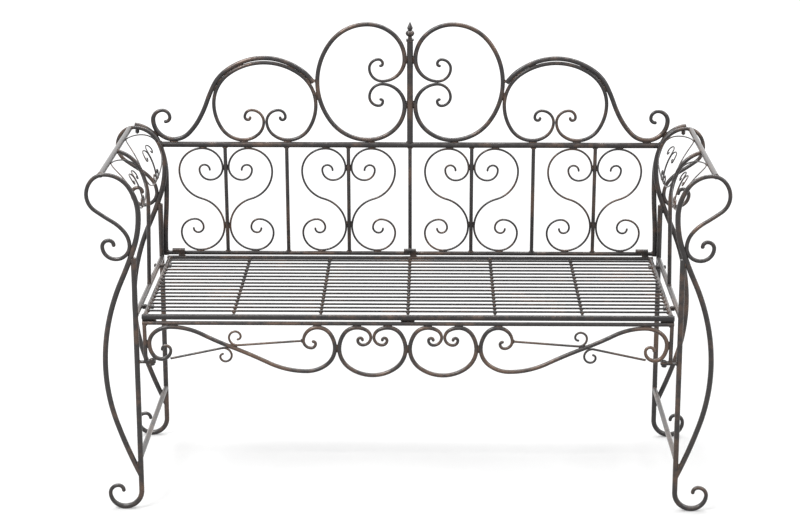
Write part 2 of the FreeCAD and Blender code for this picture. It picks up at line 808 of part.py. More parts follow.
collar_low = mm("centre_post_top") + mm("weld_gap")
collar_high = collar_low + mm("finial_collar_height")
neck_high = collar_high + mm("finial_neck_height")
bulge_middle = neck_high + mm("finial_bulge_height") / 2 - mm("finial_bulge_sink")
acorn_middle = bulge_middle + (mm("finial_bulge_height") + mm("finial_acorn_height")) / 2
acorn_middle -= mm("finial_acorn_sink")
finial_tip = document.addObject("Part::Cone", "finial_tip")
finial_tip.setExpression("Radius1", "sizes.finial_cone_diameter / 2")
finial_tip.setExpression("Radius2", "sizes.finial_tip_diameter / 2")
finial_tip.setExpression("Height", "sizes.finial_tip_height")
finial_tip.Placement = FreeCAD.Placement(Vector(0, back_plane, acorn_middle + mm("finial_acorn_sink")),
                                         FreeCAD.Rotation())
keep("finial", joined("finial_turned", [
    straight("finial_collar", Vector(0, back_plane, collar_low), Vector(0, back_plane, collar_high),
             "finial_collar_diameter"),
    straight("finial_neck", Vector(0, back_plane, collar_high), Vector(0, back_plane, bulge_middle),
             "finial_neck_diameter"),
    round_lump("finial_bulge", bulge_middle, "finial_bulge_diameter", "finial_bulge_height"),
    round_lump("finial_acorn", acorn_middle, "finial_acorn_diameter", "finial_acorn_height"),
    finial_tip,
]))

# Big scrolls beside the centre post
big = "big_rod_diameter"
big_tip = "big_tip_diameter"
big_near = touch("centre_post_diameter", big)
big_far = big_near + mm("big_scroll_width")
big_low = rail_top + mm("big_rod_diameter") / 2
big_high = big_low + mm("big_scroll_height")
big_middle = (big_low + big_high) / 2
curl_low = big_middle + (mm("big_tip_diameter") + mm("weld_gap")) / 2
big_touch = knot(big_near, curl_low + mm("big_curl_radius"), -90, big, back_plane)
big_radii = [mm("big_curl_radius"), mm("big_curl_second_radius"), mm("big_curl_third_radius"),
             mm("big_curl_tip_radius"), mm("big_curl_end_radius")]
upper_half = backwards([big_touch] + curl(big_touch, 1, big_radii, big_tip)) + [
    knot(big_near + mm("big_crown_reach"), big_high, 0, big, back_plane)]
flank = knot(big_far, big_middle, -90, big, back_plane)
lower_half = backwards(upside_down(upper_half, big_middle))
both_sides("big_scroll", bent_rod("big_scroll_bent", upper_half + [flank] + lower_half, ["start", "end"]))

# Lyre scrolls outside the big scrolls
lyre = "lyre_rod_diameter"
lyre_tip = "lyre_tip_diameter"
lyre_x = big_far + touch(big, lyre) + mm("lyre_half_width") - mm("lyre_tuck")
lyre_low = rail_top + mm("lyre_rod_diameter") / 2


def lyre_half(centre, low, up, rod, rod_tip, names, depth):
    # the outer half of a lyre, from its curl to the crown; up is +1 for a standing one, -1 for a hanging one
    half_width, knot_rise, foot_reach, flank_rise, radii = names
    side = (mm(rod_tip) + mm("weld_gap")) / 2
    meeting = knot(centre + side, low + up * knot_rise, 90 * up, rod_tip, depth)
    return backwards([meeting] + curl(meeting, -up, radii, rod_tip)) + [
        knot(centre + foot_reach, low, 0, rod, depth),
        knot(centre + half_width, low + up * flank_rise, 90 * up, rod, depth),
    ]


def whole_lyre(label, crown, half):
    far_half = []
    for point, heading, diameter in half:
        far_half.append((Vector(2 * crown[0].x - point.x, point.y, point.z),
                         Vector(-heading.x, heading.y, heading.z), diameter))
    return bent_rod(label, half + [crown] + backwards(far_half), ["start", "end"])


lyre_sizes = (mm("lyre_half_width"), mm("lyre_knot_rise"), mm("lyre_foot_reach"), mm("lyre_flank_rise"),
              [mm("lyre_curl_radius"), mm("lyre_curl_second_radius"), mm("lyre_tip_radius"),
               mm("lyre_end_radius")])
standing = lyre_half(lyre_x, lyre_low, 1, lyre, lyre_tip, lyre_sizes, back_plane)
lyre_crown = knot(lyre_x, lyre_low + mm("lyre_height"), 180, lyre, back_plane)
both_sides("lyre_scroll", whole_lyre("lyre_scroll_bent", lyre_crown, standing))

# Crest strips from the big scrolls over the lyres down to the top rail
crest = "crest_rod_diameter"
crest_tip = "crest_tip_diameter"
crest_low = rail_top + mm("crest_rod_diameter") / 2
crest_foot = knot(mm("crest_foot_reach"), crest_low, 0, crest, back_plane)
crest_side = curl(crest_foot, 1, [mm("crest_heel_radius")], crest)
lyre_arcs = two_arcs(standing[-1], lyre_crown)


def on_lyre(edge, parameter):
    # a knot of the crest that lies against the outside of the lyre
    heading = edge.tangentAt(parameter)
    outward = Vector(heading.z, 0, -heading.x)
    return edge.valueAt(parameter) + outward * touch(lyre, crest), heading * -1, crest


outer_shoulder = on_lyre(lyre_arcs[-1], lyre_arcs[-1].FirstParameter)
outer_flank = on_lyre(lyre_arcs[0], (lyre_arcs[0].FirstParameter + lyre_arcs[0].LastParameter) / 2)
inner_shoulder = (Vector(2 * lyre_x - outer_shoulder[0].x, back_plane, outer_shoulder[0].z),
                  Vector(outer_shoulder[1].x, 0, -outer_shoulder[1].z), crest)
crest_high = lyre_low + mm("lyre_height") + touch(lyre, crest) + mm("crest_crown_gap")
crest_root = big_far + touch(big, crest) - mm("crest_root_tuck")
both_sides("crest_strip", bent_rod("crest_strip_bent", [
    knot(crest_root, big_middle, mm("crest_root_angle"), crest, back_plane),
    inner_shoulder,
    knot(lyre_x, crest_high, 0, crest, back_plane),
    outer_shoulder,
    outer_flank,
    knot(mm("crest_bend_reach"), mm("crest_bend_height"), mm("crest_bend_angle"), crest, back_plane),
    crest_foot,
] + crest_side + curl(crest_side[-1], 1, [mm("crest_curl_radius"), mm("crest_inner_radius"),
                                          mm("crest_tip_radius")], crest_tip), ["end"]))

# Apron under the seat's front rail
apron_level = seat_level - (mm("seat_tube_diameter") + mm("apron_rail_diameter")) / 2 - mm("apron_gap")
apron_half = seat_x + mm("seat_tube_diameter") / 2
keep("apron_top_rail", straight("apron_rail_bar", Vector(-apron_half, front_plane, apron_level),
                                Vector(apron_half, front_plane, apron_level), "apron_rail_diameter"))
under_rail = apron_level - mm("apron_rail_diameter") / 2 - mm("weld_gap")
drop_x = apron_half - mm("apron_rail_diameter") / 2
drop_end = apron_level - mm("apron_drop")
foot_depth = Vector(0, mm("lug_depth") / 2, 0)
lug_bolt_x = drop_x - mm("lug_bolt_inset")
plate_inner = lug_bolt_x - mm("lug_end_margin")
plate_outer = drop_x + mm("apron_rail_diameter") / 2
foot_plate = block("drop_foot_plate", Vector(plate_inner, front_plane, drop_end) - foot_depth,
                   Vector(plate_outer, front_plane, drop_end + mm("lug_thickness")) + foot_depth)
drop_leg = joined("drop_leg_joined", [foot_plate, straight(
    "drop_leg_bar", Vector(drop_x, front_plane, drop_end), Vector(drop_x, front_plane, under_rail),
    "apron_rail_diameter")])
lug_top = drop_end - mm("weld_gap")
lug_low = lug_top - mm("lug_thickness")
lug_outer = leg_at(lug_top) - mm("tube_diameter") / 2 - mm("weld_gap")
lug_plate = block("lug_plate", Vector(plate_inner, front_plane, lug_low) - foot_depth,
                  Vector(lug_outer, front_plane, lug_top) + foot_depth)
lug_hole_low = Vector(lug_bolt_x, front_plane, lug_low - mm("nut_height"))
lug_hole_high = Vector(lug_bolt_x, front_plane, drop_end + mm("lug_thickness") + mm("nut_height"))
both_sides("apron_drop_leg", cut("drop_leg_drilled", drop_leg,
                                 bolt_hole("drop_leg_hole", lug_hole_low, lug_hole_high)))
lug = cut("lug_drilled", lug_plate, bolt_hole("lug_hole", lug_hole_low, lug_hole_high))
keep("apron_lugs", group("apron_lug_group", [lug, mirrored("lug_far", lug)]))

apron_rod = "apron_rod_diameter"
apron_tip = "apron_tip_diameter"
scroll_top = under_rail - mm("apron_rod_diameter") / 2
apron_lyre_x = (mm("apron_rod_diameter") + mm("weld_gap")) / 2 + mm("apron_lyre_half_width")
apron_sizes = (mm("apron_lyre_half_width"), mm("apron_lyre_knot_drop"), mm("apron_lyre_foot_reach"),
               mm("apron_lyre_flank_drop"), [mm("apron_curl_radius"), mm("apron_curl_second_radius"),
                                             mm("apron_curl_tip_radius"), mm("apron_curl_end_radius")])
hanging = lyre_half(apron_lyre_x, scroll_top, -1, apron_rod, apron_tip, apron_sizes, front_plane)
apron_crown = knot(apron_lyre_x, scroll_top - mm("apron_lyre_height"), 180, apron_rod, front_plane)
both_sides("apron_lyre", whole_lyre("apron_lyre_bent", apron_crown, hanging))

# Long scrolls of the apron
long_side = drop_x - touch("apron_rail_diameter", apron_rod)
long_inner = apron_lyre_x + mm("apron_lyre_half_width") + touch(apron_rod, apron_rod)
long_heel = knot(mm("long_heel_reach"), scroll_top - mm("long_heel_drop"), 180, apron_rod, front_plane)
inner_crown = knot(mm("long_inner_crown_reach"), scroll_top, 0, apron_rod, front_plane)
long_bend = knot(mm("long_bend_reach"), scroll_top - mm("long_bend_drop"), mm("long_bend_angle"), apron_rod,
                 front_plane)
long_knots = backwards([
    knot(mm("long_crown_reach"), scroll_top, 0, apron_rod, front_plane),
    knot(long_side, scroll_top - mm("long_side_drop"), -90, apron_rod, front_plane),
    long_heel,
] + curl(long_heel, -1, [mm("long_curl_radius"), mm("long_curl_second_radius"),
                         mm("long_curl_tip_radius")], apron_tip)) + [
    long_bend,
    knot(mm("long_belly_reach"), scroll_top - mm("long_belly_drop"), 180, apron_rod, front_plane),
    knot(long_inner, scroll_top - mm("long_flank_drop"), 90, apron_rod, front_plane),
    inner_crown,
] + curl(inner_crown, -1, [mm("long_inner_radius"), mm("long_inner_second_radius"),
                           mm("long_inner_tip_radius"), mm("long_inner_end_radius")], apron_tip)
both_sides("apron_long_scroll", bent_rod("long_scroll_bent", long_knots, ["start", "end"]))

# Thin hooked wires on both sides of each long scroll's bend
hook_radii = [mm("wire_hook_radius"), mm("wire_hook_second_radius"), mm("wire_hook_third_radius"),
              mm("wire_hook_tip_radius")]


bend_point, bend_heading = long_bend[0], long_bend[1]
bend_above = Vector(bend_heading.z, 0, -bend_heading.x)


def hooked_wire(label, start, slide, side):
    # a straight wire that runs on into a hook to its left, whose back lies against the long scroll's bend
    thin = "apron_wire_diameter"
    middle = bend_point + bend_heading * slide
    middle += bend_above * side * (touch(apron_rod, thin) + mm("wire_hook_radius"))
    reach = middle - start
    heading = math.atan2(reach.z, reach.x) - math.asin(mm("wire_hook_radius") / reach.Length)
    run = math.sqrt(reach.Length ** 2 - mm("wire_hook_radius") ** 2)
    bend = knot(start.x + run * math.cos(heading), start.z + run * math.sin(heading), math.degrees(heading),
                thin, front_plane)
    return bent_rod(label, [(start, bend[1], thin), bend] + curl(bend, 1, hook_radii, thin), ["end"])


high_start = Vector(mm("long_inner_crown_reach") + mm("long_inner_radius") + mm("apron_tip_diameter") / 2
                    + mm("weld_gap"), front_plane, scroll_top - mm("high_wire_inner_drop"))
low_angle = math.radians(mm("low_wire_angle"))
low_start = long_heel[0] + Vector(0, 0, mm("long_curl_radius"))
low_start += Vector(math.cos(low_angle), 0, math.sin(low_angle)) * (
    mm("long_curl_radius") + (mm("apron_rod_diameter") + mm("apron_tip_diameter")) / 4
    + mm("apron_wire_diameter") / 2 + mm("weld_gap"))
apron_wires = [
    hooked_wire("low_wire", low_start, -mm("low_wire_slide"), -1),
    hooked_wire("high_wire", high_start, mm("high_wire_slide"), 1),
]
keep("apron_wires", group("apron_wire_group", apron_wires + [
    mirrored("low_wire_far", apron_wires[0]), mirrored("high_wire_far", apron_wires[1])]))


# Hinges: two knuckles and a pin on each axis, those of the apron behind its rail and the seat rail
def knuckle(label, start_x, depth, level, diameter):
    end = Vector(start_x + mm("knuckle_length"), depth, level)
    barrel = straight(label + "_barrel", Vector(start_x, depth, level), end, diameter)
    bore = straight(label + "_bore", Vector(start_x, depth, level), end, "hinge_pin_diameter")
    bore.setExpression("Radius", "sizes.hinge_pin_diameter / 2 + sizes.pin_clearance")
    return barrel, bore


pins = []
apron_knuckles = []
back_leaves = []
seat_leaves = []
half_hinge = mm("knuckle_gap") / 2
back_knuckle = "back_knuckle_diameter"
to_seat = touch(seat_tube, "knuckle_diameter")
to_apron = touch("apron_rail_diameter", "knuckle_diameter")
rail_drop = seat_level - apron_level
axis_drop = (rail_drop ** 2 + to_seat ** 2 - to_apron ** 2) / (2 * rail_drop)
apron_axis_y = front_plane + math.sqrt(to_seat ** 2 - axis_drop ** 2)
apron_axis_z = seat_level - axis_drop
back_leaf_rear = back_plane - mm("back_rail_diameter") / 2 - mm("weld_gap")
back_leaf_front = back_leaf_rear - mm("hinge_leaf_thickness")
back_axis_y = back_plane - touch("back_bar_diameter", back_knuckle)
back_axis_z = mm("seat_height") + mm("back_hinge_rise")
for number, place in enumerate((-1, 0, 1)):
    across = place * mm("apron_hinge_reach")
    for half, start_x in enumerate((across - half_hinge - mm("knuckle_length"), across + half_hinge)):
        name = "apron_knuckle_%d_%d" % (number, half)
        barrel, bore = knuckle(name, start_x, apron_axis_y, apron_axis_z, "knuckle_diameter")
        apron_knuckles.append(cut(name, barrel, bore))
    run = mm("knuckle_length") + half_hinge
    pins.append(straight("apron_pin_%d" % number, Vector(across - run, apron_axis_y, apron_axis_z),
                         Vector(across + run, apron_axis_y, apron_axis_z), "hinge_pin_diameter"))
    across = place * mm("back_hinge_reach")
    pins.append(straight("back_pin_%d" % number, Vector(across - run, back_axis_y, back_axis_z),
                         Vector(across + run, back_axis_y, back_axis_z), "hinge_pin_diameter"))
    start_x = across - half_hinge - mm("knuckle_length")
    barrel, bore = knuckle("back_knuckle_%d" % number, start_x, back_axis_y, back_axis_z, back_knuckle)
    leaf = block("back_leaf_%d" % number, Vector(start_x, back_leaf_front, rail_level),
                 Vector(start_x + mm("knuckle_length"), back_leaf_rear, back_axis_z))
    hinge_half = joined("back_leaf_joined_%d" % number, [leaf, barrel])
    back_leaves.append(cut("back_leaf_bored_%d" % number, hinge_half, bore))
    start_x = across + half_hinge
    barrel, bore = knuckle("seat_knuckle_%d" % number, start_x, back_axis_y, back_axis_z, back_knuckle)
    leaf_front = back_axis_y - mm("back_knuckle_diameter") / 2
    leaf = block("seat_leaf_%d" % number, Vector(start_x, leaf_front, mm("seat_height") + mm("weld_gap")),
                 Vector(start_x + mm("knuckle_length"), leaf_front + mm("hinge_leaf_thickness"), back_axis_z))
    hinge_half = joined("seat_leaf_joined_%d" % number, [leaf, barrel])
    seat_leaves.append(cut("seat_leaf_bored_%d" % number, hinge_half, bore))
keep("apron_hinge_knuckles", group("apron_knuckle_group", apron_knuckles))
keep("back_hinge_leaves", group("back_leaf_group", back_leaves))
keep("seat_hinge_leaves", group("seat_leaf_group", seat_leaves))
keep("hinge_pins", group("hinge_pin_group", pins))


# Bolts, nuts and spacers
def domed_bolt(label, head, end):
    # head is the point under the domed head, end the end of the shank
    shank = straight(label + "_shank", head, end, "bolt_diameter")
    dome = document.addObject("Part::Ellipsoid", label + "_dome")
    dome.setExpression("Radius1", "sizes.bolt_head_height")
    dome.setExpression("Radius2", "sizes.bolt_head_diameter / 2")
    dome.Angle1 = 0
    dome.Angle2 = 90
    dome.Placement = FreeCAD.Placement(head, FreeCAD.Rotation(Vector(0, 0, 1), head - end))
    return joined(label, [shank, dome])


def hexagon_nut(label, face, heading):
    # face is the middle of the nut's seat, heading points away from it
    hexagon = document.addObject("Part::Prism", label + "_hexagon")
    hexagon.Polygon = 6
    hexagon.setExpression("Circumradius", "sizes.nut_width / 2 / cos(30 deg)")
    hexagon.setExpression("Height", "sizes.nut_height")
    hexagon.Placement = FreeCAD.Placement(face, FreeCAD.Rotation(Vector(0, 0, 1), heading))
    return cut(label, hexagon, bolt_hole(label + "_hole", face, face + heading * (2 * mm("nut_height"))))


bolts = []
nuts = []
spacers = []
past_nut = mm("nut_height") + mm("bolt_end")
rail_outside = side_rail_x + mm("tube_diameter") / 2 + mm("weld_gap")
seat_inside = seat_x - mm("seat_side_diameter") / 2 - mm("weld_gap")
for number, depth in enumerate(bolt_planes):
    head = Vector(rail_outside, depth, side_level)
    inside = Vector(seat_inside, depth, side_level)
    inward = Vector(-1, 0, 0)
    bolts.append(domed_bolt("seat_bolt_%d" % number, head, inside + inward * past_nut))
    nuts.append(hexagon_nut("seat_nut_%d" % number, inside, inward))
    spacer_start = Vector(seat_x + mm("seat_side_diameter") / 2 + mm("weld_gap"), depth, side_level)
    spacer_end = Vector(side_rail_x - mm("tube_diameter") / 2 - mm("weld_gap"), depth, side_level)
    spacers.append(cut("spacer_%d" % number, straight("spacer_tube_%d" % number, spacer_start, spacer_end,
                                                      "spacer_diameter"),
                       bolt_hole("spacer_hole_%d" % number, spacer_start, spacer_end)))
lug_head = Vector(lug_bolt_x, front_plane, drop_end + mm("lug_thickness") + mm("weld_gap"))
lug_seat = Vector(lug_bolt_x, front_plane, lug_low - mm("weld_gap"))
down = Vector(0, 0, -1)
bolts.append(domed_bolt("lug_bolt", lug_head, lug_seat + down * past_nut))
nuts.append(hexagon_nut("lug_nut", lug_seat, down))
for name, items in (("bolts", bolts), ("nuts", nuts), ("spacers", spacers)):
    far = [mirrored("%s_far_%d" % (name, number), item) for number, item in enumerate(items)]
    keep(name, group(name + "_group", items + far))

# Domed nuts under the crowns of the rear arm loops
nut_level = mm("loop_crown_height") - mm("tip_diameter") / 2 - mm("weld_gap") - mm("arm_nut_sink")
nut_top = Vector(leg_x + mm("loop_crown_overhang") - mm("arm_nut_inset"), rear_plane, nut_level)
downwards = FreeCAD.Rotation(Vector(0, 0, 1), down)
arm_hexagon = document.addObject("Part::Prism", "arm_nut_hexagon")
arm_hexagon.Polygon = 6
arm_hexagon.setExpression("Circumradius", "sizes.arm_nut_width / 2 / cos(30 deg)")
arm_hexagon.setExpression("Height", "sizes.arm_nut_height")
arm_hexagon.Placement = FreeCAD.Placement(nut_top, downwards)
arm_dome = document.addObject("Part::Ellipsoid", "arm_nut_dome")
arm_dome.setExpression("Radius1", "sizes.arm_dome_height")
arm_dome.setExpression("Radius2", "sizes.arm_dome_diameter / 2")
arm_dome.Angle1 = 0
arm_dome.Angle2 = 90
arm_dome.Placement = FreeCAD.Placement(nut_top + down * mm("arm_nut_height"), downwards)
arm_nut = joined("arm_nut", [arm_hexagon, arm_dome])
keep("arm_nuts", group("arm_nut_group", [arm_nut, mirrored("arm_nut_far", arm_nut)]))

document.recompute()
for item in document.Objects:
    if "Invalid" in item.State or "Error" in item.State:
        raise RuntimeError("%s failed: %s" % (item.Label, item.State))
for piece in pieces:
    if piece.Shape.isNull() or not piece.Shape.isValid():
        raise RuntimeError("%s has no valid shape" % piece.Label)
os.makedirs("parts", exist_ok=True)
for piece in pieces:
    piece.Shape.exportStep("parts/%s.step" % piece.Label)
print("%d pieces written" % len(pieces))
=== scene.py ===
import json
import math

import bmesh
import bpy
import numpy as np
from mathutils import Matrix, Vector, noise
from mathutils.bvhtree import BVHTree


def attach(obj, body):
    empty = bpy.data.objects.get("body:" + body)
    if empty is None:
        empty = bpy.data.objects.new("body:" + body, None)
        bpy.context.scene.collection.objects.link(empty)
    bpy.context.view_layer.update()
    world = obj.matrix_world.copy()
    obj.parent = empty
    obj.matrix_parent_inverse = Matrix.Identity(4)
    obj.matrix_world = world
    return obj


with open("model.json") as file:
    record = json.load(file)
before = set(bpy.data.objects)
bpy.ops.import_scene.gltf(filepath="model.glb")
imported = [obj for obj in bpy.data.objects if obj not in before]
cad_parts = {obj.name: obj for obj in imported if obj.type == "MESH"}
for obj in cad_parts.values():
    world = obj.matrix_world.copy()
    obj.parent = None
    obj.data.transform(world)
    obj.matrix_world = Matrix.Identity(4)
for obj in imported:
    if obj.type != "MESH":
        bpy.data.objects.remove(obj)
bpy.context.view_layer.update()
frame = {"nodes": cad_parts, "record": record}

nodes = frame["nodes"]
scene = bpy.context.scene
scene.view_settings.view_transform = "Standard"
print("frame loaded:", len(nodes), "nodes")


# a shader socket that can stand in a sum; make() adds any other node
class Signal:
    def __init__(self, tree, socket=None):
        self.tree = tree
        self.socket = socket

    def make(self, kind, settings=None, inputs=None, out=0):
        node = self.tree.nodes.new(kind)
        for key, value in (settings or {}).items():
            setattr(node, key, value)
        for key, value in (inputs or {}).items():
            if isinstance(value, Signal):
                self.tree.links.new(value.socket, node.inputs[key])
            else:
                node.inputs[key].default_value = value
        return Signal(self.tree, node.outputs[out] if len(node.outputs) else None)

    def maths(self, operation, first, second):
        return self.make("ShaderNodeMath", {"operation": operation}, {0: first, 1: second})

    def __add__(self, other):
        return self.maths("ADD", self, other)

    def __radd__(self, other):
        return self.maths("ADD", other, self)

    def __sub__(self, other):
        return self.maths("SUBTRACT", self, other)

    def __rsub__(self, other):
        return self.maths("SUBTRACT", other, self)

    def __mul__(self, other):
        return self.maths("MULTIPLY", self, other)


def emptyMaterial(name):
    material = bpy.data.materials.new(name)
    material.use_nodes = True
    material.node_tree.nodes.clear()
    return material, Signal(material.node_tree)


def mixColour(start, amount, first, second):
    return start.make("ShaderNodeMix", {"data_type": "RGBA"}, {0: amount, 6: first, 7: second}, out=2)


def softStep(start, value, low, high):
    return start.make("ShaderNodeMapRange", {"interpolation_type": "SMOOTHSTEP"},
                      {"Value": value, "From Min": low, "From Max": high})


# white background for the eye and for what metal mirrors, plain light for the rest
def seenRays(start):
    camera = start.make("ShaderNodeLightPath", out="Is Camera Ray")
    glossy = start.make("ShaderNodeLightPath", out="Is Glossy Ray")
    passing = start.make("ShaderNodeLightPath", out="Is Transmission Ray")
    return start.maths("MAXIMUM", camera, start.maths("MAXIMUM", glossy, passing))


# antique bronze paint: a near-black coat, brown rubbed through it in patches, painted shade on the downward
# sides, and dust with a painted highlight on the upward sides
def bronzePaint(name, look):
    material, start = emptyMaterial(name)
    place = start.make("ShaderNodeTexCoord", out="Object")
    facing = start.make("ShaderNodeNewGeometry", out="Normal")
    upward = start.make("ShaderNodeSeparateXYZ", None, {"Vector": facing}, out="Z")

    def cloud(scale, detail, rough=0.55, offset=(0, 0, 0)):
        moved = start.make("ShaderNodeMapping", None, {"Vector": place, "Location": offset})
        return start.make("ShaderNodeTexNoise", None, {"Vector": moved, "Scale": scale, "Detail": detail,
                                                       "Roughness": rough})

    patches = cloud(look["patchScale"], 3, 0.6, look["offset"])      # hand-wide rubbed areas
    mottle = cloud(look["mottleScale"], 4, 0.65, (3.1, 0.4, 1.7))    # finger-wide unevenness
    grain = cloud(look["grainScale"], 2, 0.5, (0.3, 5.2, 2.2))       # pigment grain
    rubbed = softStep(start, patches + (mottle - 0.5) * 0.5, look["rubLow"], look["rubHigh"])
    bright = softStep(start, patches + (mottle - 0.5) * 0.8 + (grain - 0.5) * 0.3, look["rubHigh"],
                      look["copperHigh"])
    specks = softStep(start, grain + (patches - 0.5) * 0.35, look["speckLow"], look["speckHigh"])
    # upward-facing sides: partly dust, partly a painted highlight, lighter as if lit from above
    topDustAndHighlightMask = softStep(start, upward + (mottle - 0.5) * 0.6, look["topDustAndHighlightLow"], look["topDustAndHighlightHigh"])
    # painted shade: downward-facing sides darkened as if out of the light
    paintedShadeBelow = softStep(start, (mottle - 0.5) * 0.5 - upward * 0.8, look["shadeLow"], look["shadeHigh"])
    dark = mixColour(start, mottle, (*look["deep"], 1), (*look["coat"], 1))
    warm = mixColour(start, rubbed * look["rubAmount"] * (1 - paintedShadeBelow * 0.5), dark, (*look["rub"], 1))
    copper = mixColour(start, bright * look["copperAmount"], warm, (*look["copper"], 1))
    flecked = mixColour(start, specks * look["speckAmount"], copper, (*look["speck"], 1))
    # painted shade: the downward sides mixed toward the near-black deep colour
    shaded = mixColour(start, paintedShadeBelow * look["shade"], flecked, (*look["deep"], 1))
    # lays the pale top colour on the upward sides: dust together with a painted highlight
    colour = mixColour(start, topDustAndHighlightMask * look["topDustAndHighlightAmount"], shaded, (*look["topDustAndHighlight"], 1))
    roughness = look["roughness"] + (mottle - 0.5) * 0.2 + (grain - 0.5) * 0.12 - rubbed * 0.06
    bump = start.make("ShaderNodeBump", None, {
        "Strength": look["bumpStrength"], "Distance": look["bumpDepth"],
        "Height": grain * 0.6 + mottle * 0.8})
    paint = start.make("ShaderNodeBsdfPrincipled", None, {
        "Base Color": colour, "Roughness": roughness, "Metallic": rubbed * look["metal"],
        "Coat Weight": (1 - paintedShadeBelow) * look["lacquer"] + topDustAndHighlightMask * look["polish"],
        "Coat Roughness": look["coatRoughness"], "IOR": look["ior"], "Normal": bump})
    start.make("ShaderNodeOutputMaterial", None, {"Surface": paint})
    return material


# the pale top colour is partly dust and partly a painted highlight on upward sides; shade sets the painted
# shade on downward sides
frameLook = {"patchScale": 8.5, "mottleScale": 70, "grainScale": 900, "offset": (0.2, 0.7, 0.1),
             "rubLow": 0.46, "rubHigh": 0.68, "rubAmount": 0.75, "copperAmount": 0.5, "speckAmount": 0.35,
             "deep": (0.007, 0.0064, 0.0066), "coat": (0.072, 0.0645, 0.064), "rub": (0.185, 0.112, 0.076),
             "copper": (0.34, 0.21, 0.13), "speck": (0.17, 0.108, 0.076), "topDustAndHighlight": (0.2, 0.19, 0.186),
             "topDustAndHighlightAmount": 0.5, "roughness": 0.31, "bumpStrength": 0.25, "metal": 0.35, "lacquer": 0.4,
             "polish": 0.3, "shade": 0.75, "shadeLow": -0.5, "shadeHigh": 0.85, "topDustAndHighlightLow": 0.25,
             "topDustAndHighlightHigh": 1.05, "speckLow": 0.56, "speckHigh": 0.74, "copperHigh": 0.95, "bumpDepth": 0.0006,
             "coatRoughness": 0.17, "ior": 1.3}
scrollLook = dict(frameLook, offset=(1.3, 0.1, 2.2), patchScale=10, coat=(0.07, 0.0655, 0.0675))
apronLook = dict(frameLook, offset=(3.4, 2.1, 0.6), patchScale=10, rubLow=0.37, rubHigh=0.6, rubAmount=0.82,
                 copperAmount=0.7)
seatLook = dict(frameLook, offset=(2.6, 1.9, 0.4), coat=(0.036, 0.033, 0.0345), rubLow=0.52, rubHigh=0.74,
                rubAmount=0.5, speckAmount=0.2, topDustAndHighlightAmount=0.1)
hardwareLook = dict(frameLook, offset=(0.9, 3.3, 1.1), deep=(0.009, 0.008, 0.008), coat=(0.028, 0.025, 0.025),
                    rubAmount=0.4, roughness=0.44)
weldLook = dict(frameLook, offset=(4.1, 0.6, 0.9), mottleScale=160, rubLow=0.36, rubHigh=0.6,
                copperAmount=0.7, topDustAndHighlightAmount=0.25, roughness=0.33, bumpStrength=0.5)
paints = {
    "frame": bronzePaint("frameBronze", frameLook),
    "scroll": bronzePaint("scrollBronze", scrollLook),
    "apron": bronzePaint("apronBronze", apronLook),
    "seat": bronzePaint("seatBronze", seatLook),
    "hardware": bronzePaint("hardwareBronze", hardwareLook),
}
weldPaint = bronzePaint("weldBronze", weldLook)
slotOf = {part["node"]: part["material_slot"] for part in frame["record"]["subparts"]}
for name, piece in nodes.items():
    paint = paints[slotOf[name]]
    if slotOf[name] == "scroll" and name.startswith("apron"):
        paint = paints["apron"]
    if name.startswith("seat_side_rail"):
        paint = paints["frame"]
    for number in range(len(piece.material_slots)):
        piece.material_slots[number].material = paint
    for face in piece.data.polygons:
        face.use_smooth = True
print("paint laid on", len(nodes), "nodes")


# painted-over weld beads, laid in the crevice round each place where two members meet
bead = {"touch": 0.00036, "throat": 0.0009, "reach": 0.0095, "steps": 20, "sides": 6, "thick": 0.0012,
        "apart": 0.016, "seed": 7.3, "settling": 3, "fewest": 8, "lumpScale": 420, "lumpAmount": 0.3,
        "lumpStride": 1.31, "tiny": 1e-18}
unwelded = {"bolts", "nuts", "spacers", "hinge_pins", "arm_nuts"}


def swollenSkin(piece, growth):
    # the member's triangles, each corner moved out by the growth
    mesh = piece.data
    mesh.calc_loop_triangles()
    points = np.zeros(len(mesh.vertices) * 3)
    mesh.vertices.foreach_get("co", points)
    outward = np.zeros(len(mesh.vertices) * 3, np.float32)
    mesh.vertex_normals.foreach_get("vector", outward)
    corners = np.zeros(len(mesh.loop_triangles) * 3, np.int32)
    mesh.loop_triangles.foreach_get("vertices", corners)
    points = (points + outward * growth).reshape(-1, 3)
    corners = corners.reshape(-1, 3)
    return points[corners], BVHTree.FromPolygons(points.tolist(), corners.tolist(), all_triangles=True)


def edgePiercings(edges, faces):
    # where the edges of the first triangles run through the second ones
    found = []
    base = faces[:, 0]
    sideA = faces[:, 1] - base
    sideB = faces[:, 2] - base
    for number in range(3):
        begin = edges[:, number]
        run = edges[:, (number + 1) % 3] - begin
        cross = np.cross(run, sideB)
        scale = np.einsum("ij,ij->i", sideA, cross)
        scale[np.abs(scale) < bead["tiny"]] = bead["tiny"]
        offset = begin - base
        u = np.einsum("ij,ij->i", offset, cross) / scale
        turned = np.cross(offset, sideA)
        v = np.einsum("ij,ij->i", run, turned) / scale
        t = np.einsum("ij,ij->i", sideB, turned) / scale
        hit = (u >= 0) & (v >= 0) & (u + v <= 1) & (t >= 0) & (t <= 1)
        found.append(begin[hit] + run[hit] * t[hit, None])
    return np.concatenate(found)


def crossingPoints(first, second):
    pairs = np.array(first[1].overlap(second[1]), np.int64).reshape(-1, 2)
    if not len(pairs):
        return np.zeros((0, 3))
    a = first[0][pairs[:, 0]]
    b = second[0][pairs[:, 1]]
    return np.concatenate([edgePiercings(a, b), edgePiercings(b, a)])


def contactSpots(points):
    # one middle for each place of contact
    spots = []
    rest = points
    while len(rest):
        middle = rest[0]
        for turn in range(bead["settling"]):
            near = np.linalg.norm(rest - middle, axis=1) < bead["reach"]
            middle = rest[near].mean(0) if near.any() else middle
        used = np.linalg.norm(rest - middle, axis=1) < bead["reach"]
        used[0] = True
        rest = rest[~used]
        if all(np.linalg.norm(middle - other) > bead["apart"] for other in spots):
            spots.append(middle)
    return spots


